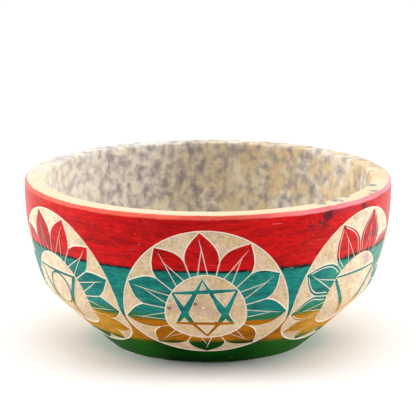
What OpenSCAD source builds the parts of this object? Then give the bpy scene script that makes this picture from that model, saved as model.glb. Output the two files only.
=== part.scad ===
// Turned soapstone bowl with four painted bands. Six lotus medallions are cut through the paint
// to the bare stone, so that only their petals and the emblems in their hubs keep their colour.
// Origin: centre of the foot's underside. +Z is up, and the first medallion faces -Y.

/* [Bowl] */
// Diameter of the stone at the rim
rim_d = 125; // [100:1:160]
// Height from the foot to the rim
bowl_h = 57; // [46:1:75]
// Diameter where the straight lower wall would meet the table, as a share of the rim's
foot_share = 0.536; // [0.44:0.002:0.64]
// Thickness of the wall
wall_t = 7; // [4:0.5:9]
// Thickness of the floor
floor_t = 9; // [6:0.5:14]
// Lean of the straight lower wall from upright, in degrees
lower_lean = 47.5; // [40:0.5:52]
// Radius of the upper wall's curve, as a multiple of the bowl's height
upper_curve = 1.614; // [1.4:0.001:2.2]
// Radius of the bend between the lower and the upper wall
bend_r = 16; // [8:1:24]
// Height of the upright stretch under the rim's roundings
rim_upright = 1; // [0.5:0.5:4]
// Rounding of the rim's outer edge
rim_round = 1.6; // [0.8:0.1:2.5]
// Rounding of the rim's inner edge
lip_round = 1; // [0.5:0.1:2]
// Rounding of the foot's edge
foot_round = 1.5; // [0.5:0.1:3]

/* [Paint] */
// Thickness of a coat of paint
coat_t = 0.2; // [0.1:0.05:0.4]
// Height where the red meets the teal, as a share of the way from a medallion's centre to the rim
red_share = 0.41; // [0.3:0.01:0.55]
// Height where the teal meets the yellow, as a share of the way up to a medallion's centre
teal_share = 0.7; // [0.6:0.01:0.8]
// Height where the yellow meets the green, as a share of the way up to a medallion's centre
yellow_share = 0.25; // [0.15:0.01:0.35]
// Height where the green stops, above the foot's edge
green_z = 1.5; // [1:0.5:4]
// Gap between two colours
colour_gap = 0.04; // [0.02:0.01:0.1]

/* [Medallions] */
// Compass radius of a medallion, as a share of its room: to the next medallion or to the rim
medallion_share = 0.93; // [0.75:0.01:0.95]
// Height of a medallion's centre, as a share of the bowl's height
centre_share = 0.456; // [0.44:0.001:0.47]
// Radius of the hub circle round the emblem, as a share of the medallion's
hub_share = 0.5; // [0.4:0.01:0.56]
// Drop of the hub below the medallion's centre
hub_drop = 1.5; // [0:0.5:2]
// Greatest width of a petal in a medallion of ten, as a share of the medallion's radius
petal_share_w = 0.37; // [0.28:0.01:0.44]
// Width of the cut line round every petal, hub and medallion
cut_w = 0.6; // [0.3:0.1:1]
// Depth of the compass rings, cut into the stone
ring_depth = 0.3; // [0.1:0.05:0.6]
// Width of the emblem's bars
star_bar = 1.5; // [0.8:0.1:2.5]

/* [Hidden] */

// One row for each medallion: its place round the bowl in degrees from the front, anticlockwise
// seen from above, its number of petals, the tilt of its first petal from upright, the turns of
// the triangles in its hub (one points down, and two make a six-pointed star), and whether they
// have a circle in them.
MEDALLIONS = [
    [-1, 10, 4, [0, 180], false],
    [57, 9, 24, [180], false],
    [118, 10, -6, [0, 180], false],
    [179, 10, 9, [0, 180], false],
    [240, 10, 2, [0, 180], false],
    [301.5, 13, 12, [180], true]
];

ARC_STEPS = 8;
BEND_STEPS = 5;
ROUND_STEPS = 4;
ROUND_FN = 96;

rim_r = rim_d / 2;
foot_r = foot_share * rim_r;
upper_r = upper_curve * bowl_h;
paint_top_z = bowl_h - rim_round;

// Positive root of a*x*x + b*x + c
function root(a, b, c) = (-b + sqrt(b * b - 4 * a * c)) / (2 * a);
function angle_of(v) = atan2(v[1], v[0]);
function polar(r, a) = r * [cos(a), sin(a)];
// Points of an arc, from its point number first on
function arc_points(centre, r, from, to, steps, first = 0) =
    [for (i = [first:steps]) centre + polar(r, from + (to - from) * i / steps)];

// Straight lower wall: its outward normal and its upward direction
lower_n = polar(1, -lower_lean);
lower_up = polar(1, 90 - lower_lean);

// Centre of the upper wall's curve, where the wall stands upright
upper_c = [rim_r - upper_r, bowl_h - max(rim_round, lip_round) - rim_upright];

// Centre of the bend: bend_r inside the lower wall, and tangent to the upper curve
bend_base = [foot_r, 0] - bend_r * lower_n;
bend_away = bend_base - upper_c;
bend_c = bend_base + lower_up * root(
    1, 2 * bend_away * lower_up, bend_away * bend_away - pow(upper_r - bend_r, 2));
bend_end = angle_of(bend_c - upper_c);

// Inside, one fillet leaves the floor, stays wall_t away from the lower wall's outer face and
// meets the upper wall. Its centre moves out by fillet_slope for each millimetre of its radius.
inner_r = upper_r - wall_t;
fillet_slope = (sin(lower_lean) - 1) / cos(lower_lean);
fillet_start = foot_r + (floor_t * sin(lower_lean) - wall_t) / cos(lower_lean);
fillet_away = [fillet_start, floor_t] - upper_c;
fillet_r = root(
    pow(fillet_slope, 2),
    2 * (fillet_away * [fillet_slope, 1] + inner_r),
    fillet_away * fillet_away - pow(inner_r, 2)
);
fillet_c = [fillet_start, floor_t] + fillet_r * [fillet_slope, 1];
fillet_end = angle_of(fillet_c - upper_c);

foot_edge_c = [foot_r - foot_round * tan((90 - lower_lean) / 2), foot_round];
rim_edge_c = [rim_r - rim_round, bowl_h - rim_round];
lip_c = [rim_r - wall_t + lip_round, bowl_h - lip_round];

// The wall's radius and its lean from upright at a medallion's centre
medallion_z = centre_share * bowl_h;
centre_rise = upper_c[1] - medallion_z;
wall_r = upper_c[0] + sqrt(upper_r * upper_r - centre_rise * centre_rise);
wall_lean = asin(centre_rise / upper_r);

// A medallion is a compass circle with room to the next one and to the rim. Its lowest point
// lies on the straight lower wall.
next_room = wall_r * sin(180 / len(MEDALLIONS));
rim_room = norm([rim_r - wall_r, paint_top_z - medallion_z]);
medallion_r = medallion_share * min(next_room, rim_room);
hub_r = hub_share * medallion_r;
centre_away = [foot_r - wall_r, -medallion_z];
lowest_z = -lower_up[1] * root(
    1, -2 * centre_away * lower_up, centre_away * centre_away - medallion_r * medallion_r);

// Heights where the colours meet
red_z = medallion_z + red_share * (paint_top_z - medallion_z);
teal_z = lowest_z + teal_share * (medallion_z - lowest_z);
yellow_z = lowest_z + yellow_share * (medallion_z - lowest_z);

// The outside from the foot up to the rim's rounding, moved out by grow
function outside(grow) = concat(
    arc_points(foot_edge_c, foot_round + grow, -90, -lower_lean, ROUND_STEPS),
    arc_points(bend_c, bend_r + grow, -lower_lean, bend_end, BEND_STEPS),
    arc_points(upper_c, upper_r + grow, bend_end, 0, ARC_STEPS, 1),
    [[rim_r + grow, paint_top_z]]
);
inside = concat(
    arc_points(lip_c, lip_round, 90, 180, ROUND_STEPS),
    arc_points(upper_c, inner_r, 0, fillet_end, ARC_STEPS),
    arc_points(fillet_c, fillet_r, fillet_end, -90, ARC_STEPS, 1)
);

// The skin of the bowl between two distances out from the stone's surface
module skin(from, to) {
    back = outside(from);
    rotate_extrude($fn = ROUND_FN)
        polygon(concat(outside(to), [for (i = [len(back) - 1:-1:0]) back[i]]));
}

// The coat of paint between two heights
module coat(low, high) {
    intersection() {
        skin(0, coat_t);
        translate([0, 0, low + colour_gap / 2])
            cylinder(r = rim_r + wall_t, h = high - low - colour_gap, $fn = ROUND_FN);
    }
}

// Puts its children on the wall at a medallion: X is along the wall, Y up it and Z out of it
module on_wall(place) {
    rotate([0, 0, place])
        translate([0, -wall_r, medallion_z])
            rotate([90 + wall_lean, 0, 0])
                children();
}

// A coat with a round window at every medallion
module band(low, high) {
    difference() {
        coat(low, high);
        for (m = MEDALLIONS)
            on_wall(m[0]) sphere(r = medallion_r, $fn = ROUND_FN);
    }
}

// The ring that a compass cuts into the stone, its outer edge at radius r from its point
module compass_ring(r) {
    difference() {
        sphere(r = r, $fn = ROUND_FN);
        sphere(r = r - cut_w, $fn = ROUND_FN);
    }
}

module stone_bowl() {
    color("wheat")
        difference() {
            rotate_extrude($fn = ROUND_FN)
                polygon(concat(
                    [[0, 0]],
                    outside(0),
                    arc_points(rim_edge_c, rim_round, 0, 90, ROUND_STEPS, 1),
                    inside,
                    [[0, floor_t]]
                ));
            intersection() {
                skin(-ring_depth, coat_t);
                for (m = MEDALLIONS)
                    on_wall(m[0]) {
                        compass_ring(medallion_r);
                        translate([0, -hub_drop, 0]) compass_ring(hub_r);
                    }
            }
        }
}

// How far a medallion reaches from its centre, along the flat, towards tilt from upright. The
// wall curves in below, so a compass circle reaches less far there.
WALL_TURN = 0.07;
function reach(tilt) = medallion_r * (1 - WALL_TURN * (1 - cos(tilt)) / 2);

// A pointed leaf between two arcs, from y = 0 to y = length
module leaf(length, width) {
    r = (length * length + width * width) / (4 * width);
    intersection_for (side = [-1, 1])
        translate([side * (r - width / 2), length / 2]) circle(r = r, $fn = ROUND_FN);
}

// One petal's sector of the medallion, less half a cut line on both sides
module petal_sector(count) {
    half = 180 / count;
    apex = cut_w / 2 / sin(half);
    far = 2 * medallion_r;
    polygon([[0, apex], [far * sin(half), apex + far * cos(half)],
             [-far * sin(half), apex + far * cos(half)]]);
}

module petals(count, first_tilt) {
    root_y = hub_r / 2;
    width = petal_share_w * medallion_r * 10 / count;
    difference() {
        for (i = [0:count - 1]) {
            tilt = first_tilt + 360 / count * i;
            tip = reach(tilt) + hub_drop * cos(tilt) - cut_w;
            rotate(tilt)
                intersection() {
                    translate([0, root_y]) leaf(tip - root_y, width);
                    petal_sector(count);
                }
        }
        circle(r = hub_r, $fn = ROUND_FN);
    }
}

// Emblem of outlined triangles, one for each of turns, their points on a circle of radius r. A
// circle in them is lifted towards their level side.
CIRCLE_LIFT = 0.13;
module emblem(r, turns, circled) {
    for (turn = turns)
        rotate(turn)
            difference() {
                polygon([for (i = [0:2]) polar(r, 90 + 120 * i)]);
                polygon([for (i = [0:2]) polar(r - 2 * star_bar, 90 + 120 * i)]);
            }
    if (circled)
        translate([0, CIRCLE_LIFT * r])
            difference() {
                circle(r = (r - star_bar) / 2, $fn = ROUND_FN);
                circle(r = (r - 3 * star_bar) / 2, $fn = ROUND_FN);
            }
}

// What is left of a coat inside the medallions, from flat drawings pushed in through the wall
push = 0.6 * medallion_r;
module cut_from(low, high) {
    intersection() {
        coat(low, high);
        children();
    }
}
module all_petals() {
    for (m = MEDALLIONS)
        on_wall(m[0])
            intersection() {
                sphere(r = medallion_r - cut_w, $fn = ROUND_FN);
                translate([0, -hub_drop, -push])
                    linear_extrude(height = push + coat_t) petals(m[1], m[2]);
            }
}
module all_emblems() {
    for (m = MEDALLIONS)
        on_wall(m[0])
            translate([0, -hub_drop, -push])
                linear_extrude(height = push + coat_t) emblem(hub_r - cut_w, m[3], m[4]);
}

RED = "firebrick";
TEAL = "teal";
YELLOW = "darkgoldenrod";
GREEN = "darkgreen";
module red_band() { color(RED) band(red_z, paint_top_z); }
module red_petals() { color(RED) cut_from(red_z, paint_top_z) all_petals(); }
module teal_band() { color(TEAL) band(teal_z, red_z); }
module teal_petals() { color(TEAL) cut_from(teal_z, red_z) all_petals(); }
module teal_stars() { color(TEAL) cut_from(teal_z, red_z) all_emblems(); }
module yellow_band() { color(YELLOW) band(yellow_z, teal_z); }
module yellow_petals() { color(YELLOW) cut_from(yellow_z, teal_z) all_petals(); }
module yellow_star_points() { color(YELLOW) cut_from(yellow_z, teal_z) all_emblems(); }
module green_band() { color(GREEN) band(green_z, yellow_z); }
module green_petals() { color(GREEN) cut_from(green_z, yellow_z) all_petals(); }

stone_bowl();
red_band();
red_petals();
teal_band();
teal_petals();
teal_stars();
yellow_band();
yellow_petals();
yellow_star_points();
green_band();
green_petals();
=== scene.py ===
import math

import bpy
import numpy as np
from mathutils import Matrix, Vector, noise
from mathutils.geometry import delaunay_2d_cdt


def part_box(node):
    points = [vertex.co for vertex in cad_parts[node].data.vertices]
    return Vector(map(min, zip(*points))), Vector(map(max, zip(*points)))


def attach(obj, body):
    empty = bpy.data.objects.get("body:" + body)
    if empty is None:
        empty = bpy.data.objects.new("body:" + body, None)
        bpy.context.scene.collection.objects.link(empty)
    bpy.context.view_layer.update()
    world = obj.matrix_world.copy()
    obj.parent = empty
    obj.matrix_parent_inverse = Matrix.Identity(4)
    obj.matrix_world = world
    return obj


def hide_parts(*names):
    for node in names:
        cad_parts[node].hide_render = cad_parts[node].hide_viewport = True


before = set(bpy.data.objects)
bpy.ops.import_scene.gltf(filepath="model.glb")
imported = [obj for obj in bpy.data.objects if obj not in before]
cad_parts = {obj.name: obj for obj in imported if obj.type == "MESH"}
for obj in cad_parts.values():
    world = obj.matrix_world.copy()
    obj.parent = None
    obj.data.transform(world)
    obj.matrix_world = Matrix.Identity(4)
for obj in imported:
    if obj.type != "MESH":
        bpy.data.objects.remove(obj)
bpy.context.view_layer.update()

# ---- Sizes, in millimetres. Azimuths are in radians from the front (-Y), to the right as seen there.
MM = 0.001
RIM_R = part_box("stone_bowl")[1].x / MM
BOWL_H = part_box("stone_bowl")[1].z / MM
FOOT_R = 0.536 * RIM_R
LOWER_LEAN = math.radians(47.5)
UPPER_R = 1.614 * BOWL_H
BEND_R = 16.0
WALL_T = 7.0
FLOOR_T = 9.0
RIM_ROUND = 1.6
LIP_ROUND = 1.0
FOOT_ROUND = 1.5
RIM_UPRIGHT = 1.0
FLOOR_CENTRE_R = 0.6   # radius of the innermost ring of points inside

RED_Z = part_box("red_band")[0].z / MM
TEAL_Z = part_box("teal_band")[0].z / MM
YELLOW_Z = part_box("yellow_band")[0].z / MM

FILM = 0.06            # thickness of the paint
FILM_ROOT = 0.05       # how far a paint solid reaches into the stone
RECESS = 0.2           # how deep the ground of a medallion is scraped
CUT_HALF_W = 0.21      # half the width of a cut line
CUT_DEPTH = 0.22       # its depth
CLEAR = 0.9            # beyond this a place is clear of a cut
FAR = 9.0
UNEVEN = 0.16          # how far the hand-turned surface dips
UNEVEN_SIZE = 22.0     # and over what length

PROFILE_STEP = 0.25
FILL_STEP = 1.5        # spacing of the points that fill the wall
GROUND_STEP = 1.0      # and of those that fill the scraped ground
LINE_STEP = 0.9        # spacing of points along a cut line
SEAM_STEP = 1.6        # and of those on a seam between two sectors
ROW_CLEAR = 0.12       # rows of points stay this far from a coat's edge,
EDGE_CLEAR = 0.5       # filling points this far
SEAM_CLEAR = 0.8       # and this far from a seam
CUT_CLEAR = 2.2        # and from a cut's centre line, in half widths of the cut
BESIDE_CUT = 1.3       # the ground is scraped rough beyond this, in half widths
IN_CUT = 0.97          # a triangle whose middle is nearer than this lies in the cut
SECTOR_HALF_W = 40     # more than half the width of a sector
SCRAPE_RELIEF = 0.07   # ups and downs of the scraped ground
AZIMUTH_STEP = math.radians(0.75)
SNAP = 0.002           # points this near to a seam lie on it

# ---- The meridian: outside from the foot's edge to the rim, and inside from there to the axis


def arc(centre, radius, start, end, hollow=False):
    """Points of an arc in the meridian plane and the stone's outward normal at each."""
    count = max(4, math.ceil(abs(end - start) * radius / PROFILE_STEP))
    angles = np.linspace(start, end, count)
    directions = np.stack([np.cos(angles), np.sin(angles)], axis=1)
    return np.array(centre) + radius * directions, -directions if hollow else directions


class Meridian:
    """A line in the meridian plane, walked by its length."""

    def __init__(self, stretches, start=0.0):
        self.points = np.concatenate([points for points, _ in stretches])
        self.normals = np.concatenate([normals for _, normals in stretches])
        steps = np.hypot(*np.diff(self.points, axis=0).T)
        keep = np.concatenate([[True], steps > 1e-6])
        self.points, self.normals = self.points[keep], self.normals[keep]
        steps = np.hypot(*np.diff(self.points, axis=0).T)
        self.lengths = start + np.concatenate([[0.0], np.cumsum(steps)])

    def radius(self, length):
        return np.interp(length, self.lengths, self.points[:, 0])

    def place(self, azimuth, length, lift):
        """Where a point lies in space, lift out from the surface."""
        azimuth, length, lift = np.broadcast_arrays(azimuth, length, lift)
        along = [
            np.interp(length, self.lengths, column)
            for column in (*self.points.T, *self.normals.T)
        ]
        radius = along[0] + lift * along[2]
        height = along[1] + lift * along[3]
        return np.stack([radius * np.sin(azimuth), -radius * np.cos(azimuth), height], axis=-1)


def positive_root(a, b, c):
    return (-b + math.sqrt(b * b - 4 * a * c)) / (2 * a)


def outer_meridian():
    upper_c = np.array([RIM_R - UPPER_R, BOWL_H - RIM_ROUND - RIM_UPRIGHT])
    lower_normal = np.array([math.cos(LOWER_LEAN), -math.sin(LOWER_LEAN)])
    lower_up = np.array([math.sin(LOWER_LEAN), math.cos(LOWER_LEAN)])
    bend_base = np.array([FOOT_R, 0.0]) - BEND_R * lower_normal
    away = bend_base - upper_c
    along = positive_root(1, 2 * away @ lower_up, away @ away - (UPPER_R - BEND_R) ** 2)
    bend_c = bend_base + along * lower_up
    bend_end = math.atan2(*(bend_c - upper_c)[::-1])
    tangent = FOOT_ROUND * math.tan((math.pi / 2 - LOWER_LEAN) / 2)
    foot_c = [FOOT_R - tangent, FOOT_ROUND]
    rim_c = [RIM_R - RIM_ROUND, BOWL_H - RIM_ROUND]
    start = tangent - FOOT_ROUND * (math.pi / 2 - LOWER_LEAN)
    return Meridian(
        [
            arc(foot_c, FOOT_ROUND, -math.pi / 2, -LOWER_LEAN),
            arc(bend_c, BEND_R, -LOWER_LEAN, bend_end),
            arc(upper_c, UPPER_R, bend_end, 0),
            arc(rim_c, RIM_ROUND, 0, math.pi / 2),
        ],
        start,
    )


def inner_meridian():
    upper_c = np.array([RIM_R - UPPER_R, BOWL_H - RIM_ROUND - RIM_UPRIGHT])
    inner_r = UPPER_R - WALL_T
    slope = (math.sin(LOWER_LEAN) - 1) / math.cos(LOWER_LEAN)
    start = FOOT_R + (FLOOR_T * math.sin(LOWER_LEAN) - WALL_T) / math.cos(LOWER_LEAN)
    away = np.array([start, FLOOR_T]) - upper_c
    direction = np.array([slope, 1.0])
    fillet_r = positive_root(slope**2, 2 * (away @ direction + inner_r), away @ away - inner_r**2)
    fillet_c = np.array([start, FLOOR_T]) + fillet_r * direction
    fillet_start = math.atan2(*(fillet_c - upper_c)[::-1])
    lip_c = [RIM_R - WALL_T + LIP_ROUND, BOWL_H - LIP_ROUND]
    rim_edge = np.array([[RIM_R - RIM_ROUND, BOWL_H]])
    centre = np.array([[FLOOR_CENTRE_R, FLOOR_T]])
    up = np.array([[0.0, 1.0]])
    return Meridian(
        [
            (rim_edge, up),
            arc(lip_c, LIP_ROUND, math.pi / 2, math.pi),
            arc(upper_c, inner_r, 0, fillet_start, hollow=True),
            arc(fillet_c, fillet_r, fillet_start, -math.pi / 2, hollow=True),
            (centre, up),
        ]
    )


OUTER = outer_meridian()
INNER = inner_meridian()
S_FOOT, S_RIM = OUTER.lengths[0], OUTER.lengths[-1]
S_UPRIGHT = S_RIM - RIM_ROUND * math.pi / 2


def length_at(height):
    """How far up the outer wall's length a height is."""
    return np.interp(height, OUTER.points[:, 1], OUTER.lengths)


def waver(azimuth, size, seed):
    """Slow wandering between -1 and 1 round the bowl, the same on both sides of azimuth pi."""
    return np.array(
        [
            noise.noise(Vector((size * math.sin(a), size * math.cos(a), seed)))
            for a in np.atleast_1d(azimuth)
        ]
    )


def unevenness(places):
    """Dips of a surface turned and sanded by hand, never above the CAD's surface."""
    dips = [
        noise.noise(Vector(p) / UNEVEN_SIZE) + 0.3 * noise.noise(Vector(p) / UNEVEN_SIZE * 4)
        for p in places
    ]
    return -UNEVEN * np.clip(0.5 + 0.5 * np.array(dips), 0, 1)


# ---- Where one coat ends and the next begins, as lengths up the outer wall
LAP_WAVER = 0.25


def red_edge(azimuth):
    return length_at(RED_Z) + LAP_WAVER * waver(azimuth, 3.0, 1.0)


def teal_edge(azimuth):
    rise = 2.0 * np.sin(azimuth) ** 2
    return length_at(TEAL_Z + rise) + LAP_WAVER * waver(azimuth, 4.0, 5.0)


def yellow_edge(azimuth):
    drop = 1.7 * np.clip(np.sin(azimuth) ** 2 / 0.25, 0, 1)
    return length_at(YELLOW_Z - drop) + LAP_WAVER * waver(azimuth, 4.0, 9.0)


def rim_edge(azimuth):
    return S_UPRIGHT + 1.65 + 0.2 * waver(azimuth, 9.0, 3.0) + 0.1 * waver(azimuth, 40.0, 4.0)


def foot_edge(azimuth):
    return 0.35 + 0.6 * waver(azimuth, 7.0, 6.0) + 0.2 * waver(azimuth, 30.0, 7.0)


COAT_EDGES = (foot_edge, yellow_edge, teal_edge, red_edge, rim_edge)
COAT_NAMES = ("green", "yellow", "teal", "red")

# ---- The medallions. Each is drawn flat round its hub: x to the right, y up the wall.
RING_RISE = 2.6        # the centre of the ring, above the hub's
VALLEY_R = 20.5        # where two petals part, for petals PETAL_GAP apart
VALLEY_FALL = 16.0     # and how much less for each radian more
VALLEY_MIN, VALLEY_MAX = 15.3, 21.5
PETAL_GAP = math.radians(31)
BULGE = 0.24           # how far a petal's edge bulges, as a share of its length
TIP_GAP = 0.15         # from a petal's tip to the ring
VEIN_SPREAD = math.radians(6.5)
VEIN_HALF_W = 0.17
VEIN_DEPTH = 0.14
INSET = 1.35           # from a petal's outline to its second cut, where it has one
EMBLEM_CUT_HALF_W = 0.12
EMBLEM_CUT_DEPTH = 0.22
BAR_OVERLAP = 0.3      # how far a bar runs past its triangle's corners
PIT_AT, PIT_R = (-0.8, 2.5), 0.45

# An emblem's triangles, each its corners and the widths along each of its bars, and its circles,
# each its centre, radius and width
STAR = dict(
    triangles=[
        (
            [(-1.1, 12.7), (8.9, -4.8), (-9.4, -4.6)],
            [(0.6, 1.2, 1.6, 2.8, 2.1, 1.1), (1.4, 1.7, 1.7, 1.4), (0.9, 2.0, 2.6, 1.9, 1.5, 0.6)],
        ),
        (
            [(-10.9, 7.8), (10.3, 9.0), (0.4, -13.1)],
            [(0.8, 1.5, 1.7, 1.5, 0.8), (0.9, 1.6, 2.6, 1.7, 1.3, 0.8), (0.8, 1.3, 1.6, 2.3, 1.7, 0.8)],
        ),
    ],
    circles=[],
)
TRIANGLE = dict(
    triangles=[
        ([(-13.0, 8.3), (12.4, 8.6), (-0.4, -9.6)], [(0.8, 1.1, 0.8), (1.2, 1.6, 1.0), (1.0, 1.7, 1.2)])
    ],
    circles=[],
)
CIRCLED_TRIANGLE = dict(
    triangles=[
        ([(-10.6, 9.2), (11.1, 8.3), (0.3, -12.8)], [(0.8, 1.0, 1.1), (1.6, 1.7, 1.0), (0.9, 1.2, 0.8)])
    ],
    circles=[((1.0, 2.4), 5.7, 0.9)],
)

# azimuth and height along the wall of the hub's centre, the half width and half height of ring
# and hub, the angles of the petals' tips clockwise from upright, and whether petals have a
# second cut
MEDALLIONS = [
    dict(azimuth=-0.7, length=32.9, ring=(27.85, 26.95), hub=(13.3, 14.5), double=False,
         emblem=STAR, tips=[-4.0, 30.5, 60.2, 91, 141, 179.5, 220, 264, 293, 324]),
    dict(azimuth=57.0, length=33.5, ring=(27.9, 27.4), hub=(14.6, 14.8), double=True,
         emblem=TRIANGLE, tips=[11, 50, 90, 128, 165, 201, 232, 262, 294, 335]),
    dict(azimuth=118.0, length=32.6, ring=(27.7, 27.2), hub=(13.8, 14.0), double=False,
         emblem=STAR, tips=[-8, 27, 65, 101, 138, 175, 211, 247, 281, 317]),
    dict(azimuth=179.0, length=33.2, ring=(27.8, 27.3), hub=(14.2, 14.4), double=True,
         emblem=STAR, tips=[8, 45, 80, 117, 155, 190, 229, 264, 298, 333]),
    dict(azimuth=240.0, length=32.8, ring=(27.6, 27.4), hub=(13.6, 14.2), double=False,
         emblem=STAR, tips=[-3, 29, 60, 95, 133, 171, 204, 238, 272, 321]),
    dict(azimuth=301.3, length=33.0, ring=(27.8, 27.4), hub=(14.8, 15.0), double=False,
         emblem=CIRCLED_TRIANGLE,
         tips=[-12, 17.7, 45, 69, 94, 121, 149, 176, 204, 231, 259, 287, 318]),
]


def polar(angle, radius):
    """A point at a clockwise angle from upright."""
    return np.array([radius * math.sin(angle), radius * math.cos(angle)])


def bezier(a, b, c, d, step=LINE_STEP):
    count = max(4, math.ceil(np.hypot(*(d - a)) / step))
    t = np.linspace(0, 1, count + 1)[:, None]
    return (1 - t) ** 3 * a + 3 * (1 - t) ** 2 * t * b + 3 * (1 - t) * t**2 * c + t**3 * d


def straight(a, b, step=LINE_STEP):
    a, b = np.array(a, float), np.array(b, float)
    count = max(2, math.ceil(np.hypot(*(b - a)) / step))
    return a + (b - a) * np.linspace(0, 1, count + 1)[:, None]


def ring_reach(ring, angle):
    """How far the ring is from the hub's centre at an angle."""
    across, up = math.sin(angle), math.cos(angle) / ring[1]
    return positive_root(
        (across / ring[0]) ** 2 + up**2, -2 * up * RING_RISE / ring[1], (RING_RISE / ring[1]) ** 2 - 1
    )


def hub_reach(hub, angle):
    return 1 / math.hypot(math.sin(angle) / hub[0], math.cos(angle) / hub[1])


def closed_curve(centre, half_w, half_h, step=LINE_STEP):
    count = math.ceil(2 * math.pi * max(half_w, half_h) / step)
    turn = np.linspace(0, 2 * math.pi, count + 1)
    return np.array(centre) + np.stack([half_w * np.sin(turn), half_h * np.cos(turn)], axis=1)


def petal_side(valley, tip, axis_side, spread):
    """The edge of a petal from a valley to its tip, bulging away from the petal's axis."""
    chord = tip - valley
    outward = np.array([chord[1], -chord[0]]) * axis_side
    bulge = BULGE * np.interp(spread / PETAL_GAP, [0.75, 1.0, 1.5], [0.4, 1.0, 1.25])
    return bezier(
        valley,
        valley + 0.33 * chord + bulge * outward,
        valley + 0.70 * chord + 0.35 * bulge * outward,
        tip,
    )


class Stroke:
    """A cut line: its centre line, its half width at each point, and its depth."""

    def __init__(self, points, half_w=CUT_HALF_W, depth=CUT_DEPTH, taper=None, seed=0.0):
        self.points = np.array(points, float)
        count = len(self.points)
        wander = [1 + 0.16 * noise.noise(Vector((i * 0.37, seed, half_w))) for i in range(count)]
        self.half_w = half_w * np.array(wander)
        if taper:
            self.half_w *= np.interp(np.arange(count), [0, taper], [0.25, 1.0])
        self.closed = np.allclose(self.points[0], self.points[-1])
        if self.closed:
            self.half_w[-1] = self.half_w[0]
        self.depth = depth

    def sides(self):
        """The cut's two edges."""
        points = self.points
        ahead = np.gradient(points, axis=0)
        if self.closed:
            ahead[0] = ahead[-1] = points[1] - points[-2]
        ahead /= np.maximum(np.hypot(*ahead.T), 1e-9)[:, None]
        across = np.stack([-ahead[:, 1], ahead[:, 0]], axis=1) * self.half_w[:, None]
        return points + across, points - across

    def nearness(self, places):
        """How far each place is from the centre line, in half widths of the cut there."""
        starts, steps = self.points[:-1], np.diff(self.points, axis=0)
        away = places[:, None] - starts
        share = (away * steps).sum(axis=2) / np.maximum((steps**2).sum(axis=1), 1e-12)
        share = np.clip(share, 0, 1)
        distance = np.linalg.norm(away - share[..., None] * steps, axis=2)
        half_w = self.half_w[:-1] + share * np.diff(self.half_w)
        return (distance / half_w).min(axis=1)


def inside(points, polygon):
    """Which points lie in a polygon."""
    x, y = points[:, 0], points[:, 1]
    found = np.zeros(len(points), bool)
    for (x0, y0), (x1, y1) in zip(polygon, np.roll(polygon, -1, axis=0)):
        crosses = (y0 > y) != (y1 > y)
        with np.errstate(divide="ignore", invalid="ignore"):
            found ^= crosses & (x < (x1 - x0) * (y - y0) / (y1 - y0) + x0)
    return found


def on_bar(points, bar):
    """Which points lie on a bar of an emblem."""
    outline, hole = bar
    found = inside(points, outline)
    return found if hole is None else found & ~inside(points, hole)


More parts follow.
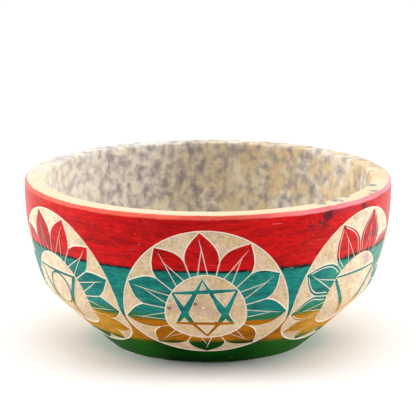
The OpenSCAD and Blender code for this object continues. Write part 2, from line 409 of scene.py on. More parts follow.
class Medallion:
    """One medallion: what is painted, what is scraped and where it is cut."""

    def __init__(self, azimuth, length, ring, hub, double, emblem, tips):
        self.azimuth, self.length = math.radians(azimuth), length
        self.ring, self.hub = ring, hub
        self.ring_line = closed_curve((0, RING_RISE), *ring)
        self.hub_line = closed_curve((0, 0), *hub)
        self.strokes = [
            Stroke(self.ring_line, seed=azimuth),
            Stroke(self.hub_line, seed=azimuth + 1),
        ]
        self.petals = []
        self.bars = []
        self.draw_petals([math.radians(t) for t in tips], double)
        self.draw_emblem(**emblem)
        pit = closed_curve(PIT_AT, PIT_R * 0.3, PIT_R * 0.3, 0.15)
        self.strokes.append(Stroke(pit, PIT_R * 0.7, CUT_DEPTH))

    def draw_petals(self, tips, double):
        tips = sorted(t % (2 * math.pi) for t in tips)
        after = tips[1:] + [tips[0] + 2 * math.pi]
        valleys = [(a + b) / 2 for a, b in zip(tips, after)]
        depths = [
            min(VALLEY_MAX, max(VALLEY_MIN, VALLEY_R - VALLEY_FALL * (b - a - PETAL_GAP)))
            for a, b in zip(tips, after)
        ]
        for i, tip in enumerate(tips):
            sides = [(valleys[i - 1] - (2 * math.pi if i == 0 else 0), depths[i - 1], -1),
                     (valleys[i], depths[i], 1)]
            self.draw_petal(i, tip, sides, double)
        for i, (valley, depth) in enumerate(zip(valleys, depths)):
            root = polar(valley, hub_reach(self.hub, valley))
            self.strokes.append(Stroke(straight(root, polar(valley, depth)), seed=i))

    def draw_petal(self, number, tip_angle, sides, double):
        tip = polar(tip_angle, ring_reach(self.ring, tip_angle) - TIP_GAP)
        outline = []
        for valley_angle, depth, axis_side in sides:
            root = polar(valley_angle, hub_reach(self.hub, valley_angle))
            valley = polar(valley_angle, depth)
            side = petal_side(valley, tip, axis_side, 2 * abs(valley_angle - tip_angle))
            self.strokes.append(Stroke(side, seed=number + axis_side))
            outline.append(np.concatenate([[root], side]))
            if double:
                self.draw_inner_cut(root, side, axis_side)
        first, second = outline
        self.petals.append(np.concatenate([first, second[::-1]]))
        self.draw_veins(number, tip_angle)

    def draw_inner_cut(self, root, side, axis_side):
        """A second cut along a petal's edge, inside it."""
        line = np.concatenate([straight(root, side[0])[:-1], side])
        ahead = np.gradient(line, axis=0)
        ahead /= np.hypot(*ahead.T)[:, None]
        inward = np.stack([-ahead[:, 1], ahead[:, 0]], axis=1) * axis_side
        width = INSET * np.interp(np.arange(len(line)), [0, 3, len(line) - 1], [0.8, 1.0, 0.5])
        line = line + inward * width[:, None]
        self.strokes.append(Stroke(line[1:-2], VEIN_HALF_W * 1.2, VEIN_DEPTH))

    def draw_veins(self, number, tip_angle):
        for start, spread in ((0.92, 1), (0.82, -1)):
            spread *= VEIN_SPREAD * (1 if number % 2 else -1)
            top = polar(tip_angle - spread * 0.12, ring_reach(self.ring, tip_angle) * start)
            base_angle = tip_angle + spread
            base = polar(base_angle, hub_reach(self.hub, base_angle) + 0.1)
            self.strokes.append(Stroke(straight(top, base), VEIN_HALF_W, VEIN_DEPTH, taper=4))

    def draw_emblem(self, triangles, circles):
        """The painted bars in the hub, as outlines that may have a hole."""
        lines = []
        for corners, widths in triangles:
            corners = np.array(corners)
            for start, end, wide in zip(corners, np.roll(corners, -1, axis=0), widths):
                ahead = (end - start) / np.hypot(*(end - start))
                across = np.outer(wide, [-ahead[1] / 2, ahead[0] / 2])
                start, end = start - ahead * BAR_OVERLAP, end + ahead * BAR_OVERLAP
                middle = start + np.outer(np.linspace(0, 1, len(wide)), end - start)
                bar = np.concatenate([middle + across, (middle - across)[::-1]])
                self.bars.append((bar, None))
                lines.append([straight(bar[i - 1], bar[i], 0.5) for i in range(len(bar))])
        for centre, radius, width in circles:
            edges = [closed_curve(centre, r, r, 0.5) for r in (radius + width / 2, radius - width / 2)]
            self.bars.append(edges)
            lines.append(edges)
        for own, edges in enumerate(lines):
            for line in edges:
                self.cut_outside_bars(line, own)

    def cut_outside_bars(self, line, own):
        """Cuts along a bar's edge, where no other bar covers it."""
        middles = (line[:-1] + line[1:]) / 2
        hidden = np.zeros(len(middles), bool)
        for i, bar in enumerate(self.bars):
            if i != own:
                hidden |= on_bar(middles, bar)
        run = []
        for i, covered in enumerate([*hidden, True]):
            if covered:
                if len(run) > 1:
                    cut = line[run[0]:run[-1] + 2]
                    self.strokes.append(Stroke(cut, EMBLEM_CUT_HALF_W, EMBLEM_CUT_DEPTH))
                run = []
            else:
                run.append(i)

    def flat(self, azimuth, length):
        """From azimuth and length up the wall to the medallion's own x and y."""
        azimuth, length = np.broadcast_arrays(azimuth, length)
        return np.stack(
            [(azimuth - self.azimuth) * OUTER.radius(length), length - self.length], axis=-1
        )

    def wall(self, points):
        """From the medallion's own x and y to azimuth and length up the wall."""
        length = points[:, 1] + self.length
        return self.azimuth + points[:, 0] / OUTER.radius(length), length

    def kinds(self, points):
        """What each point lies on: BAND, PETAL, EMBLEM or GROUND."""
        found = np.full(len(points), BAND)
        found[inside(points, self.ring_line[:-1])] = GROUND
        for petal in self.petals:
            found[inside(points, petal)] = PETAL
        found[inside(points, self.hub_line[:-1])] = GROUND
        for bar in self.bars:
            found[on_bar(points, bar)] = EMBLEM
        return found

    def cut_depth(self, points):
        """For each point, how near it is to a cut's centre line (0) or edge (1), and its depth."""
        nearness = np.full(len(points), FAR)
        depths = np.zeros(len(points))
        for stroke in self.strokes:
            low = stroke.points.min(axis=0) - CLEAR
            high = stroke.points.max(axis=0) + CLEAR
            close = np.flatnonzero(((points > low) & (points < high)).all(axis=1))
            if len(close):
                ratio = stroke.nearness(points[close])
                nearer = ratio < nearness[close]
                nearness[close[nearer]] = ratio[nearer]
                depths[close[nearer]] = stroke.depth
        return nearness, depths


BAND, PETAL, EMBLEM, GROUND, CUT = range(5)

# ---- The outer wall: one triangulated sheet, sector by sector, in which every cut and edge is a line


def azimuth_grid(left, right):
    count = max(2, math.ceil((right - left) / AZIMUTH_STEP))
    return np.linspace(left, right, count + 1)


def seam_lengths(azimuth):
    """Lengths up the wall of the points on a seam between two sectors."""
    rows = np.concatenate([foot_rows(), np.arange(SEAM_STEP, S_UPRIGHT - 0.5, SEAM_STEP), rim_rows()])
    edges = np.array([edge(azimuth)[0] for edge in COAT_EDGES])
    clear = np.abs(rows[:, None] - edges[None]).min(axis=1) > ROW_CLEAR
    clear[0] = clear[-1] = True
    return np.sort(np.concatenate([rows[clear], edges]))


def foot_rows():
    return np.linspace(S_FOOT, 0.8, 6)


def rim_rows():
    return np.linspace(S_UPRIGHT - 0.2, S_RIM, 10)


class Sheet:
    """Points and lines to triangulate."""

    def __init__(self):
        self.points, self.lines = [], []

    def add_line(self, points):
        start = len(self.points)
        self.points.extend(map(tuple, points))
        self.lines.extend((start + i, start + i + 1) for i in range(len(points) - 1))

    def add_points(self, points):
        self.points.extend(map(tuple, points))


def fill_points(medallion, left, right, tables):
    """Points that fill the sheet between its lines: closer together on the scraped ground."""
    low, high = SEAM_STEP - medallion.length, S_UPRIGHT - 0.9 - medallion.length
    chosen = []
    for step, ground in ((FILL_STEP, False), (GROUND_STEP, True)):
        columns = np.arange(-SECTOR_HALF_W, SECTOR_HALF_W, step)
        rows = np.arange(low, high, step * 0.866)
        x, y = np.meshgrid(columns, rows)
        x[1::2] += step / 2
        points = np.stack([x.ravel(), y.ravel()], axis=1)
        azimuth, length = medallion.wall(points)
        margin = SEAM_CLEAR / OUTER.radius(length)
        points = points[(azimuth > left + margin) & (azimuth < right - margin)]
        points = points[(medallion.kinds(points) == GROUND) == ground]
        chosen.append(points)
    points = np.concatenate(chosen)
    near, _ = medallion.cut_depth(points)
    points = points[near > CUT_CLEAR]
    azimuth, length = medallion.wall(points)
    for edge in COAT_EDGES:
        keep = np.abs(length - tables[edge](azimuth)) > EDGE_CLEAR
        points, azimuth, length = points[keep], azimuth[keep], length[keep]
    return points


def build_sector(medallion, left, right):
    """Azimuths, lengths and triangles of the wall round one medallion."""
    sheet = Sheet()
    grid = azimuth_grid(left, right)
    for azimuth in (left, right):
        sheet.add_line(medallion.flat(azimuth, seam_lengths(azimuth)))
    sheet.add_line(medallion.flat(grid, S_FOOT))
    sheet.add_line(medallion.flat(grid, S_RIM))
    tables = {}
    for edge in COAT_EDGES:
        lengths = edge(grid)
        sheet.add_line(medallion.flat(grid, lengths))
        tables[edge] = lambda azimuth, lengths=lengths: np.interp(azimuth, grid, lengths)
    for stroke in medallion.strokes:
        sheet.add_line(stroke.points)
        for side in stroke.sides():
            sheet.add_line(side)
    for row in np.concatenate([foot_rows()[1:], rim_rows()[:-1]]):
        inner = grid[1:-1]
        clear = np.ones(len(inner), bool)
        for edge in COAT_EDGES:
            clear &= np.abs(row - tables[edge](inner)) > ROW_CLEAR
        sheet.add_points(medallion.flat(inner[clear], np.full(clear.sum(), row)))
    sheet.add_points(fill_points(medallion, left, right, tables))
    points, _, triangles, *_ = delaunay_2d_cdt(
        [Vector(p) for p in sheet.points], sheet.lines, [], 0, 1e-5
    )
    points = np.array([tuple(p) for p in points])
    triangles = np.array(triangles)
    azimuth, length = medallion.wall(points[triangles].mean(axis=1))
    inside_sector = (azimuth > left) & (azimuth < right) & (length > S_FOOT) & (length < S_RIM)
    return points, triangles[inside_sector]


def nearest(values, places):
    """For each place, the nearest of some values."""
    return values[np.abs(places[:, None] - values).argmin(axis=1)]


def snap_seams(azimuth, length, left, right):
    """Puts the points on a sector's outline exactly where the next sector or ring has them."""
    for end in (S_FOOT, S_RIM):
        row = np.abs(length - end) < SNAP
        length[row] = end
        azimuth[row] = nearest(azimuth_grid(left, right), azimuth[row])
    for seam in (left, right):
        column = np.abs(azimuth - seam) * OUTER.radius(length) < SNAP
        azimuth[column] = seam
        length[column] = nearest(seam_lengths(seam), length[column])


def coat_of(azimuth, length):
    """The number of the coat at each place: -1 below the paint, 4 above it."""
    number = np.full(len(azimuth), -1)
    for edge in COAT_EDGES:
        number += length > edge(azimuth)
    return number


class Wall:
    """The whole outer wall: its vertices, and for each triangle what it lies on and its coat."""

    def __init__(self):
        self.azimuth, self.length, self.lift = [], [], []
        self.triangles, self.kind, self.coat = [], [], []
        self.index = {}
        medallions = [Medallion(**m) for m in MEDALLIONS]
        centres = [m.azimuth for m in medallions]
        for i, medallion in enumerate(medallions):
            before = centres[i - 1] - (2 * math.pi if i == 0 else 0)
            after = centres[i + 1] if i + 1 < len(centres) else centres[0] + 2 * math.pi
            self.add_sector(medallion, (before + centres[i]) / 2, (after + centres[i]) / 2)
        self.azimuth, self.length, self.lift = map(
            np.array, (self.azimuth, self.length, self.lift)
        )
        self.triangles, self.kind, self.coat = map(
            np.concatenate, (self.triangles, self.kind, self.coat)
        )
        self.lift = self.lift + unevenness(OUTER.place(self.azimuth, self.length, 0.0))

    def vertex(self, azimuth, length, lift):
        """The number of a vertex, shared between the sectors on both sides of a seam."""
        key = (round(math.sin(azimuth), 6), round(math.cos(azimuth), 6), round(length, 3))
        if key not in self.index:
            self.index[key] = len(self.azimuth)
            self.azimuth.append(azimuth)
            self.length.append(length)
            self.lift.append(lift)
        return self.index[key]

    def add_sector(self, medallion, left, right):
        points, triangles = build_sector(medallion, left, right)
        azimuth, length = medallion.wall(points)
        snap_seams(azimuth, length, left, right)
        near, depth = medallion.cut_depth(points)
        lift = np.where(medallion.kinds(points) == GROUND, -RECESS, 0.0)
        scraped = (lift < 0) & (near > BESIDE_CUT)
        lift[scraped] += SCRAPE_RELIEF * np.array(
            [noise.noise(Vector((*p, medallion.azimuth)) * 0.9) for p in points[scraped]]
        )
        share = np.clip(1 - near, 0, 1)
        lift = lift * (1 - share) - depth * share
        numbers = np.array([self.vertex(*v) for v in zip(azimuth, length, lift)])
        along_seam = [(azimuth[triangles] == seam).all(axis=1) for seam in (left, right)]
        folded = np.diff(np.sort(numbers[triangles], axis=1), axis=1).min(axis=1) == 0
        triangles = triangles[~(along_seam[0] | along_seam[1] | folded)]
        middles = points[triangles].mean(axis=1)
        kind = medallion.kinds(middles)
        kind[medallion.cut_depth(middles)[0] < IN_CUT] = CUT
        self.triangles.append(numbers[triangles])
        self.kind.append(kind)
        self.coat.append(coat_of(azimuth[triangles].mean(axis=1), length[triangles].mean(axis=1)))


def make_object(name, places, faces, material):
    """A mesh object from places in millimetres."""
    mesh = bpy.data.meshes.new(name)
    mesh.from_pydata((np.asarray(places) * MM).tolist(), [], faces)
    mesh.materials.append(material)
    mesh.shade_smooth()
    mesh.set_sharp_from_angle(angle=math.radians(35))
    thing = bpy.data.objects.new(name, mesh)
    bpy.context.scene.collection.objects.link(thing)
    return thing


# ---- Materials


def srgb(red, green, blue):
    """A colour given as 0 to 255, for a shader socket."""
    return (*[(c / 255 / 12.92) if c < 10 else ((c / 255 + 0.055) / 1.055) ** 2.4
              for c in (red, green, blue)], 1.0)


class Shader:
    """A node material, built a node at a time. Sockets take a number, a colour or an output."""

    def __init__(self, name):
        self.material = bpy.data.materials.new(name)
        self.material.use_nodes = True
        self.tree = self.material.node_tree
        self.tree.nodes.clear()
        self.surface = self.node("ShaderNodeBsdfPrincipled")
        output = self.node("ShaderNodeOutputMaterial")
        self.tree.links.new(self.surface.outputs["BSDF"], output.inputs["Surface"])
        scale = self.node("ShaderNodeVectorMath", operation="SCALE")
        scale.inputs["Scale"].default_value = 1 / MM
        coordinates = self.node("ShaderNodeTexCoord").outputs["Object"]
        self.tree.links.new(coordinates, scale.inputs[0])
        self.place = scale.outputs[0]
        split = self.node("ShaderNodeSeparateXYZ")
        self.tree.links.new(self.place, split.inputs[0])
        self.x, self.y, self.z = split.outputs

    def node(self, kind, **settings):
        made = self.tree.nodes.new(kind)
        for name, value in settings.items():
            setattr(made, name, value)
        return made

    def feed(self, socket, value):
        if isinstance(value, bpy.types.NodeSocket):
            self.tree.links.new(value, socket)
        else:
            socket.default_value = value

    def math(self, operation, a, b=0.0, c=0.0, clamp=False):
        made = self.node("ShaderNodeMath", operation=operation, use_clamp=clamp)
        for socket, value in zip(made.inputs, (a, b, c)):
            self.feed(socket, value)
        return made.outputs[0]

    def stretched(self, x, y, z):
        """The place, stretched along each axis: a feature grows as its number falls."""
        made = self.node("ShaderNodeVectorMath", operation="MULTIPLY")
        self.feed(made.inputs[0], self.place)
        made.inputs[1].default_value = (x, y, z)
        return made.outputs[0]

    def noise(self, size, vector=None, detail=3.0, roughness=0.5, distortion=0.0):
        """Noise whose features are about size millimetres across."""
        made = self.node("ShaderNodeTexNoise")
        self.feed(made.inputs["Vector"], vector or self.place)
        made.inputs["Scale"].default_value = 0.5 / size
        made.inputs["Detail"].default_value = detail
        made.inputs["Roughness"].default_value = roughness
        made.inputs["Distortion"].default_value = distortion
        return made.outputs[0]

    def step(self, value, low, high):
        """0 below low, 1 above high and smooth between them; low may be the greater."""
        made = self.node("ShaderNodeMapRange", interpolation_type="SMOOTHSTEP")
        self.feed(made.inputs["Value"], value)
        self.feed(made.inputs["From Min"], low)
        self.feed(made.inputs["From Max"], high)
        return made.outputs[0]

    def band(self, value, centre, half_w):
        """1 at centre, falling to 0 half_w away on both sides."""
        away = self.math("ABSOLUTE", self.math("SUBTRACT", value, centre))
        return self.step(away, half_w, 0.0)

    def mix(self, factor, a, b, blend="MIX"):
        made = self.node("ShaderNodeMix", data_type="RGBA", blend_type=blend)
        for socket, value in ((made.inputs[0], factor), (made.inputs[6], a), (made.inputs[7], b)):
            self.feed(socket, value)
        return made.outputs[2]

    def layer(self, under, mask, strength, *colour):
        """A colour, 0 to 255, laid over another where mask is 1, at a strength."""
        return self.mix(self.math("MULTIPLY", mask, strength), under, srgb(*colour))

    def attribute(self, name):
        return self.node("ShaderNodeAttribute", attribute_name=name).outputs["Fac"]

    def patches(self, places):
        """1 in the middle of each patch, falling to 0 at its ragged edge."""
        ragged = self.math("MULTIPLY_ADD", self.noise(0.7, detail=4.0, roughness=0.6), 2.4, -1.2)
        found = 0.0
        for azimuth, radius, height, size in places:
            azimuth = math.radians(azimuth)
            away = self.node("ShaderNodeVectorMath", operation="DISTANCE")
            self.feed(away.inputs[0], self.place)
            away.inputs[1].default_value = (
                radius * math.sin(azimuth), -radius * math.cos(azimuth), height
            )
            away = self.math("MULTIPLY_ADD", ragged, size, away.outputs["Value"])
            found = self.math("MAXIMUM", found, self.step(away, size, size * 0.4))
        return found

    def bump(self, height, depth, strength=1.0):
        """Adds relief: height from 0 to 1 stands for depth millimetres."""
        made = self.node("ShaderNodeBump")
        made.inputs["Strength"].default_value = strength
        made.inputs["Distance"].default_value = depth * MM
        self.feed(made.inputs["Height"], height)
        self.tree.links.new(made.outputs[0], self.surface.inputs["Normal"])

    def finish(self, colour, roughness, **fixed):
        self.feed(self.surface.inputs["Base Color"], colour)
        self.feed(self.surface.inputs["Roughness"], roughness)
        for name, value in fixed.items():
            self.surface.inputs[name.replace("_", " ")].default_value = value
        return self.material


# Dark natural patches in the stone: azimuth in degrees, radius, height and size in millimetres
DARK_PATCHES = [
    (36.7, 61.5, 51.8, 2.6), (38.7, 62.0, 54.4, 2.7), (37.6, 61.8, 53.2, 2.2),
    (32.0, 61.5, 50.8, 1.8), (28.6, 61.0, 49.3, 1.5), (55.3, 62.2, 54.4, 2.3),
    (61.9, 62.0, 56.4, 1.9), (30.5, 60.5, 46.5, 1.8), (73.0, 57.4, 57.0, 2.3),
    (39.8, 57.6, 57.0, 2.4), (46.3, 57.6, 57.0, 2.1), (53.3, 56.4, 57.0, 2.2),
    (65.4, 60.6, 57.0, 1.7), (47.0, 60.0, 57.0, 1.2),
]
BROWN_SPOTS = [(-12.8, 57.6, 24.8, 1.1), (-4.2, 58.1, 26.5, 0.8), (-0.6, 57.5, 24.3, 0.5)]
HUB_STAINS = [(-3.0, 57.4, 26.0, 4.2), (1.5, 57.0, 23.0, 3.2), (-11.0, 57.4, 25.0, 3.0)]
FAINT_PATCHES = [(42.0, 62.3, 55.6, 2.4), (46.0, 62.3, 55.4, 2.4), (50.0, 62.3, 54.2, 2.0),
                 (58.0, 62.0, 47.0, 3.0), (66.0, 61.0, 44.0, 3.5), (61.0, 59.0, 35.0, 3.0),
                 (69.0, 58.5, 29.0, 2.5), (44.0, 60.5, 42.0, 1.8)]


def stone_material():
    s = Shader("soapstone")
    tint = s.noise(26.0, detail=2.0)
    colour = s.mix(s.step(tint, 0.4, 0.62), srgb(232, 224, 208), srgb(226, 214, 186))
    pale = s.noise(4.0, s.stretched(1, 1, 0.6), detail=3.0)
    colour = s.layer(colour, s.step(pale, 0.45, 0.68), 0.6, 244, 238, 226)
    right_hand = s.step(s.x, -25.0, 35.0)
    ochre = s.noise(3.0, s.stretched(1, 1, 0.6), detail=3.0)
    ochres = s.math("MULTIPLY", s.step(ochre, 0.35, 0.6), right_hand)
    colour = s.layer(colour, ochres, 0.75, 218, 186, 124)
    blotch = s.noise(1.4, s.stretched(1, 1, 0.85), detail=4.0, roughness=0.5, distortion=0.1)
    gather = s.noise(9.0, detail=2.0)
    blotch = s.math("MULTIPLY_ADD", gather, 0.3, s.math("SUBTRACT", blotch, 0.15))
    blotch = s.math("MULTIPLY_ADD", right_hand, -0.03, blotch)
    # Painted shade: the top of the rim towards the front gets fewer blotches and a plain, darker cream
    rim_top = s.step(s.z, BOWL_H - 1.2, BOWL_H - 0.4)
    facing = s.step(s.y, 30.0, -30.0)
    plain_shaded_front_rim = s.math("MULTIPLY", rim_top, facing)
    strength = s.math("MULTIPLY_ADD", plain_shaded_front_rim, -0.55, 0.75)
    # Painted light: towards the left the stone has fewer grey blotches, so it is paler there, standing
    # for light washing over that side
    painted_pale_left = s.step(s.x, -30.0, -52.0)
    strength = s.math("MULTIPLY_ADD", painted_pale_left, -0.3, strength)
    blotches = s.math("MULTIPLY", s.step(blotch, 0.34, 0.66), strength)
    colour = s.mix(blotches, colour, srgb(152, 142, 146))
    darker = s.math("MULTIPLY", s.step(blotch, 0.56, 0.72), strength)
    colour = s.layer(colour, darker, 0.45, 116, 104, 114)
    colour = s.layer(colour, plain_shaded_front_rim, 0.85, 226, 204, 168)
    grain = s.noise(0.4, detail=4.0, roughness=0.7)
    colour = s.layer(colour, s.step(grain, 0.58, 0.72), 0.5, 150, 132, 112)
    dark = s.patches(DARK_PATCHES)
    faint = s.patches(FAINT_PATCHES)
    colour = s.layer(colour, dark, 0.75, 104, 108, 124)

    scraped = s.attribute("scraped")
    ground = s.mix(s.step(s.noise(3.0), 0.4, 0.62), srgb(222, 196, 162), srgb(212, 182, 130))
    # Painted sheen: the scraped ground is paler towards the bowl's sides, where light grazes the wall
    painted_side_sheen = s.step(s.math("ABSOLUTE", s.x), 30.0, 60.0)
    ground = s.layer(ground, painted_side_sheen, 0.55, 240, 228, 204)
    pink = s.math("MULTIPLY", s.step(s.noise(1.4, detail=4.0), 0.47, 0.6), 0.55)
    ground = s.mix(pink, ground, srgb(206, 164, 142))
    olive = s.step(s.noise(0.9, detail=4.0, roughness=0.7, distortion=0.2), 0.52, 0.62)
    ground = s.layer(ground, olive, 0.5, 152, 154, 118)
    pale = s.step(s.noise(0.35, s.stretched(1, 1, 0.8), detail=4.0), 0.5, 0.62)
    ground = s.layer(ground, pale, 0.4, 234, 220, 194)
    speck = s.step(s.noise(0.25, detail=2.0), 0.6, 0.68)
    ground = s.layer(ground, speck, 0.5, 130, 112, 98)
    ground = s.layer(ground, s.patches(HUB_STAINS), 0.6, 184, 150, 130)
    ground = s.layer(ground, faint, 0.75, 166, 152, 158)
    ground = s.layer(ground, s.patches(BROWN_SPOTS), 0.9, 104, 76, 62)
    colour = s.mix(scraped, colour, ground)
    cut = s.attribute("cut")
    colour = s.mix(cut, colour, s.mix(s.noise(0.8), srgb(228, 212, 192), srgb(250, 240, 226)))

    streaks = s.noise(0.35, s.stretched(1, 1, 0.25), detail=4.0, roughness=0.65)
    relief = s.math("ADD", s.math("MULTIPLY", grain, 0.4), s.math("MULTIPLY", streaks, 0.6))
    s.bump(relief, 0.05)
    rough = s.math("MULTIPLY_ADD", s.math("MAXIMUM", scraped, cut), 0.25, 0.55)
    return s.finish(colour, rough, Specular_IOR_Level=0.2)


# The specular level and the sheen of each paint
PAINT_GLOSS = {
    "red": (0.04, 0.30), "teal": (0.04, 0.25), "yellow": (0.02, 0.0), "green": (0.02, 0.0)
}


def paint_material(name):
    """The four coats of paint. Each coat's colour goes by height, so coats meet softly."""
    s = Shader(f"{name}_paint")
    radius_squared = s.math("ADD", s.math("MULTIPLY", s.x, s.x), s.math("MULTIPLY", s.y, s.y))
    side = s.math("DIVIDE", s.math("MULTIPLY", s.x, s.x), radius_squared)
    wander = s.noise(5.0, s.stretched(1, 1, 0.3), detail=4.0, roughness=0.6)
    height = s.math("ADD", s.z, s.math("MULTIPLY_ADD", wander, 1.6, -0.8))
    streak = s.noise(1.4, s.stretched(0.16, 0.16, 1.0), detail=5.0, roughness=0.65)
    patch = s.noise(9.0, detail=3.0)

    mottle = s.noise(0.4, s.stretched(0.3, 0.3, 1.0), detail=4.0, roughness=0.65)
    red = s.mix(s.step(streak, 0.32, 0.62), srgb(148, 2, 5), srgb(206, 8, 10))
    red = s.layer(red, s.step(patch, 0.4, 0.7), 0.35, 208, 30, 28)
    red = s.layer(red, s.step(mottle, 0.48, 0.62), 0.5, 124, 4, 8)
    red = s.layer(red, s.step(mottle, 0.45, 0.33), 0.3, 224, 44, 36)
    teal = s.mix(s.step(streak, 0.3, 0.66), srgb(0, 82, 84), srgb(16, 130, 118))
    lighter = s.math("MULTIPLY_ADD", s.step(s.x, 0.0, 35.0), 0.4, 0.3)
    lighter = s.math("MULTIPLY", s.step(patch, 0.35, 0.6), lighter)
    teal = s.mix(lighter, teal, srgb(52, 152, 130))
    teal = s.layer(teal, s.step(mottle, 0.48, 0.62), 0.4, 0, 70, 72)
    teal = s.layer(teal, s.step(mottle, 0.45, 0.33), 0.25, 70, 164, 146)
    yellow = s.mix(s.step(streak, 0.3, 0.66), srgb(136, 76, 0), srgb(182, 110, 2))
    # Painted light: the yellow is brighter and more golden towards the bowl's sides, where the side
    # lamps fall, than at the front
    yellow = s.layer(yellow, s.step(side, 0.15, 0.5), 0.8, 214, 156, 10)
    yellow = s.layer(yellow, s.step(mottle, 0.48, 0.64), 0.55, 112, 66, 2)
    green = s.mix(s.step(streak, 0.3, 0.66), srgb(0, 42, 4), srgb(2, 72, 8))
    # Painted light and shade: the green is lighter towards the bowl's sides, where the lamps reach, and
    # darker at the front
    green = s.layer(green, s.step(side, 0.05, 0.3), 0.5, 36, 112, 14)

    teal_top = s.math("MULTIPLY_ADD", side, 2.0, TEAL_Z)
    yellow_top = s.math("SUBTRACT", YELLOW_Z, s.math("MULTIPLY", s.step(side, 0.0, 0.25), 1.7))
    above_yellow = s.math("SUBTRACT", height, yellow_top)
    above_teal = s.math("SUBTRACT", height, teal_top)
    colour = s.mix(s.step(above_yellow, -1.1, 0.9), green, yellow)
    colour = s.mix(s.step(above_teal, -0.5, 0.3), colour, teal)
    feather = s.math("MULTIPLY_ADD", s.step(side, 0.05, 0.35), 1.2, 1.6)
    olive = s.math("MULTIPLY", s.band(above_teal, 0.8, feather), 0.85)
    colour = s.mix(olive, colour, srgb(24, 96, 24))
    lap = s.math("ADD", s.z, s.math("MULTIPLY_ADD", wander, 0.7, -0.35))
    colour = s.mix(s.step(lap, RED_Z - 0.15, RED_Z + 0.15), colour, red)
    lap_half_w = s.math("MULTIPLY_ADD", s.step(s.x, 0.0, 30.0), 0.4, 0.75)
    dark = s.math("MULTIPLY", s.band(lap, RED_Z, lap_half_w), s.step(mottle, 0.3, 0.5))
    colour = s.mix(s.math("MULTIPLY", dark, 1.2, clamp=True), colour, srgb(16, 14, 16))

    colour = s.layer(colour, s.patches(FAINT_PATCHES), 0.45, 126, 44, 72)
    colour = s.layer(colour, s.patches(DARK_PATCHES), 0.85, 54, 22, 38)
    scratch = s.noise(0.5, s.stretched(0.10, 0.10, 1.3), detail=2.0, roughness=0.5)
    fine = s.math("MULTIPLY", s.step(scratch, 0.68, 0.74), s.step(patch, 0.42, 0.6))
    colour = s.layer(colour, fine, 0.5, 232, 150, 130)
    fleck = s.step(s.noise(0.45, detail=2.0), 0.74, 0.78)
    colour = s.layer(colour, fleck, 0.3, 230, 190, 170)
    # Painted highlight: a salmon line just under the rim, along the rounded top edge of the red band,
    # paler and pinker towards the right, stands for light caught on that edge
    edge = s.math("MULTIPLY_ADD", s.noise(3.0, detail=3.0), 0.8, s.math("SUBTRACT", s.z, 0.4))
    painted_rim_highlight = s.step(edge, BOWL_H - 1.8, BOWL_H - 1.2)
    painted_rim_highlight = s.math("MULTIPLY", painted_rim_highlight, s.math("MULTIPLY_ADD", s.step(streak, 0.35, 0.65), 0.35, 0.6))
    salmon = s.mix(s.step(s.x, 5.0, 45.0), srgb(250, 112, 92), srgb(252, 146, 156))
    colour = s.mix(painted_rim_highlight, colour, salmon)

    ridges = s.noise(0.3, s.stretched(0.1, 0.1, 1.0), detail=3.0)
    s.bump(ridges, 0.03)
    rough = s.math("MULTIPLY_ADD", streak, 0.2, 0.3)
    specular, sheen = PAINT_GLOSS[name]
    return s.finish(
        colour, rough, Specular_IOR_Level=specular, Sheen_Weight=sheen, Sheen_Roughness=0.4
    )


# ---- The pieces
RIM_ROWS = 3
LIP_ROWS = 5
INNER_STEP = 1.6
UNDERSIDE_ROWS = 12


def ring_faces(first, second):
    """Quads between two closed rings of vertex numbers."""
    count = len(first)
    return [
        (first[i], first[(i + 1) % count], second[(i + 1) % count], second[i])
        for i in range(count)
    ]


def lip_end():
    return RIM_R - RIM_ROUND - (RIM_R - WALL_T + LIP_ROUND), LIP_ROUND * math.pi / 2


def build_stone(wall, material):
    places = list(OUTER.place(wall.azimuth, wall.length, wall.lift))
    faces = [tuple(t) for t in wall.triangles.tolist()]
    wall_faces = len(faces)

    def ring_at(length):
        numbers = np.flatnonzero(np.isclose(wall.length, length))
        return numbers[np.argsort(wall.azimuth[numbers])].tolist()

    def add_ring(ring_places):
        start = len(places)
        places.extend(ring_places)
        return list(range(start, len(places)))

    def close(ring, height):
        centre = add_ring([np.array([0.0, 0.0, height])])[0]
        count = len(ring)
        faces.extend((ring[i], ring[(i + 1) % count], centre) for i in range(count))

    rim = ring_at(S_RIM)
    azimuths = wall.azimuth[rim]
    flat, lip = lip_end()
    rows = np.concatenate([
        np.linspace(0, flat, RIM_ROWS + 1)[1:],
        np.linspace(flat, flat + lip, LIP_ROWS + 1)[1:],
        np.arange(flat + lip + INNER_STEP, INNER.lengths[-1], INNER_STEP),
        INNER.lengths[-1:],
    ])
    ring = rim
    for length in rows:
        level = INNER.place(azimuths, length, 0.0)
        level = INNER.place(azimuths, length, unevenness(level))
        made = add_ring(level)
        faces.extend(ring_faces(ring, made))
        ring = made
    close(ring, FLOOR_T - UNEVEN / 2)

    ring = ring_at(S_FOOT)[::-1]
    azimuths = wall.azimuth[ring]
    outer_radius = float(OUTER.radius(S_FOOT))
    for share in np.linspace(1, 0, UNDERSIDE_ROWS + 1)[1:-1]:
        radius = outer_radius * share
        level = np.stack(
            [radius * np.sin(azimuths), -radius * np.cos(azimuths), 0 * azimuths], axis=-1
        )
        level[:, 2] = -unevenness(level)
        made = add_ring(level)
        faces.extend(ring_faces(ring, made))
        ring = made
    close(ring, UNEVEN / 2)

    stone = make_object("carved_stone", places, faces, material)
    count = len(stone.data.polygons)
    for name, kind in (("cut", CUT), ("scraped", GROUND)):
        values = np.zeros(count, np.float32)
        values[:wall_faces] = wall.kind == kind
        layer = stone.data.attributes.new(name, "FLOAT", "FACE")
        layer.data.foreach_set("value", values)
    return stone


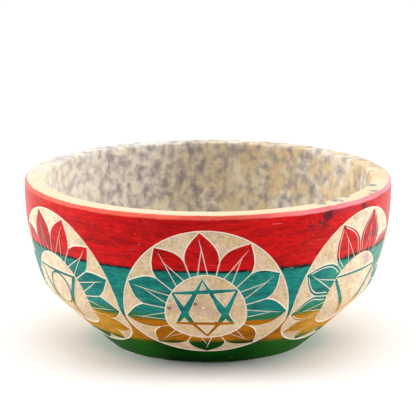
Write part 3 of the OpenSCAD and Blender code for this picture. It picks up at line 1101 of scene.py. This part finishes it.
def build_paint(wall, name, coat, kind, material):
    """A coat of paint where the wall has that coat and kind, as a thin solid."""
    triangles = wall.triangles[(wall.coat == coat) & (wall.kind == kind)]
    used, local = np.unique(triangles, return_inverse=True)
    local = local.reshape(-1, 3)
    count = len(used)
    azimuth, length, lift = wall.azimuth[used], wall.length[used], wall.lift[used]
    top = OUTER.place(azimuth, length, lift + FILM)
    bottom = OUTER.place(azimuth, length, lift - FILM_ROOT)
    edges = np.concatenate([local[:, [0, 1]], local[:, [1, 2]], local[:, [2, 0]]])
    ordered = {tuple(e) for e in edges.tolist()}
    faces = [tuple(t) for t in local.tolist()]
    faces += [(a + count, c + count, b + count) for a, b, c in local.tolist()]
    faces += [
        (b, a, a + count, b + count) for a, b in ordered if (b, a) not in ordered
    ]
    return make_object(name, np.concatenate([top, bottom]), faces, material)


wall = Wall()
body = build_stone(wall, stone_material())
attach(body, "root")
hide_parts("stone_bowl")

PAINT_PIECES = [
    ("red_band", 3, BAND), ("red_petals", 3, PETAL),
    ("teal_band", 2, BAND), ("teal_petals", 2, PETAL), ("teal_stars", 2, EMBLEM),
    ("yellow_band", 1, BAND), ("yellow_petals", 1, PETAL), ("yellow_star_points", 1, EMBLEM),
    ("green_band", 0, BAND), ("green_petals", 0, PETAL),
]
paints = {name: paint_material(name) for name in COAT_NAMES}
for node, coat, kind in PAINT_PIECES:
    colour = COAT_NAMES[coat]
    piece = build_paint(wall, f"painted_{node}", coat, kind, paints[colour])
    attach(piece, "root")
    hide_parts(node)

# ---- Floor, light and camera
CAMERA_AWAY = 0.9375
CAMERA_RAISED = math.radians(13.85)
CAMERA_AIMED_UP = math.radians(1.0)
CAMERA_LENS = 236.3
# The studio is white behind the bowl and dimmer on the camera's side
WORLD_FADE = {"From Min": -0.8, "From Max": 0.1, "To Min": 0.3, "To Max": 1.0}


def make_floor():
    mesh = bpy.data.meshes.new("floor")
    half = 6.0
    mesh.from_pydata(
        [(-half, -half, 0), (half, -half, 0), (half, half, 0), (-half, half, 0)], [], [(0, 1, 2, 3)]
    )
    s = Shader("floor")
    colour = s.mix(s.noise(60.0), (0.92, 0.92, 0.92, 1), (0.95, 0.95, 0.95, 1))
    mesh.materials.append(s.finish(colour, 0.7))
    floor = bpy.data.objects.new("floor", mesh)
    bpy.context.scene.collection.objects.link(floor)


def make_light(name, place, size, power):
    light = bpy.data.lights.new(name, "AREA")
    light.shape = "DISK"
    light.size = size
    light.energy = power
    lamp = bpy.data.objects.new(name, light)
    lamp.location = place
    lamp.rotation_mode = "QUATERNION"
    lamp.rotation_quaternion = (-Vector(place)).to_track_quat("-Z", "Y")
    bpy.context.scene.collection.objects.link(lamp)


def make_world():
    world = bpy.data.worlds.new("studio")
    world.use_nodes = True
    tree = world.node_tree
    split = tree.nodes.new("ShaderNodeSeparateXYZ")
    fade = tree.nodes.new("ShaderNodeMapRange")
    fade.interpolation_type = "SMOOTHSTEP"
    for name, value in WORLD_FADE.items():
        fade.inputs[name].default_value = value
    tree.links.new(tree.nodes.new("ShaderNodeTexCoord").outputs["Generated"], split.inputs[0])
    tree.links.new(split.outputs["Y"], fade.inputs["Value"])
    tree.links.new(fade.outputs[0], tree.nodes["Background"].inputs["Strength"])
    tree.nodes["Background"].inputs["Color"].default_value = (1, 1, 1, 1)
    bpy.context.scene.world = world


def make_camera():
    data = bpy.data.cameras.new("camera")
    data.lens = CAMERA_LENS
    data.clip_start, data.clip_end = 0.05, 20
    camera = bpy.data.objects.new("camera", data)
    target = BOWL_H / 2 * MM
    camera.location = (
        0,
        -CAMERA_AWAY * math.cos(CAMERA_RAISED),
        target + CAMERA_AWAY * math.sin(CAMERA_RAISED),
    )
    camera.rotation_euler = (math.pi / 2 - CAMERA_RAISED + CAMERA_AIMED_UP, 0, 0)
    bpy.context.scene.collection.objects.link(camera)
    bpy.context.scene.camera = camera


make_floor()
make_world()
make_light("left", (-1.0, 0.05, 0.4), 0.8, 8.0)
make_light("right", (1.0, 0.05, 0.4), 0.8, 8.0)
make_light("above", (0.0, -0.2, 1.2), 0.8, 3.6)
make_camera()
bpy.context.scene.view_settings.view_transform = "Standard"
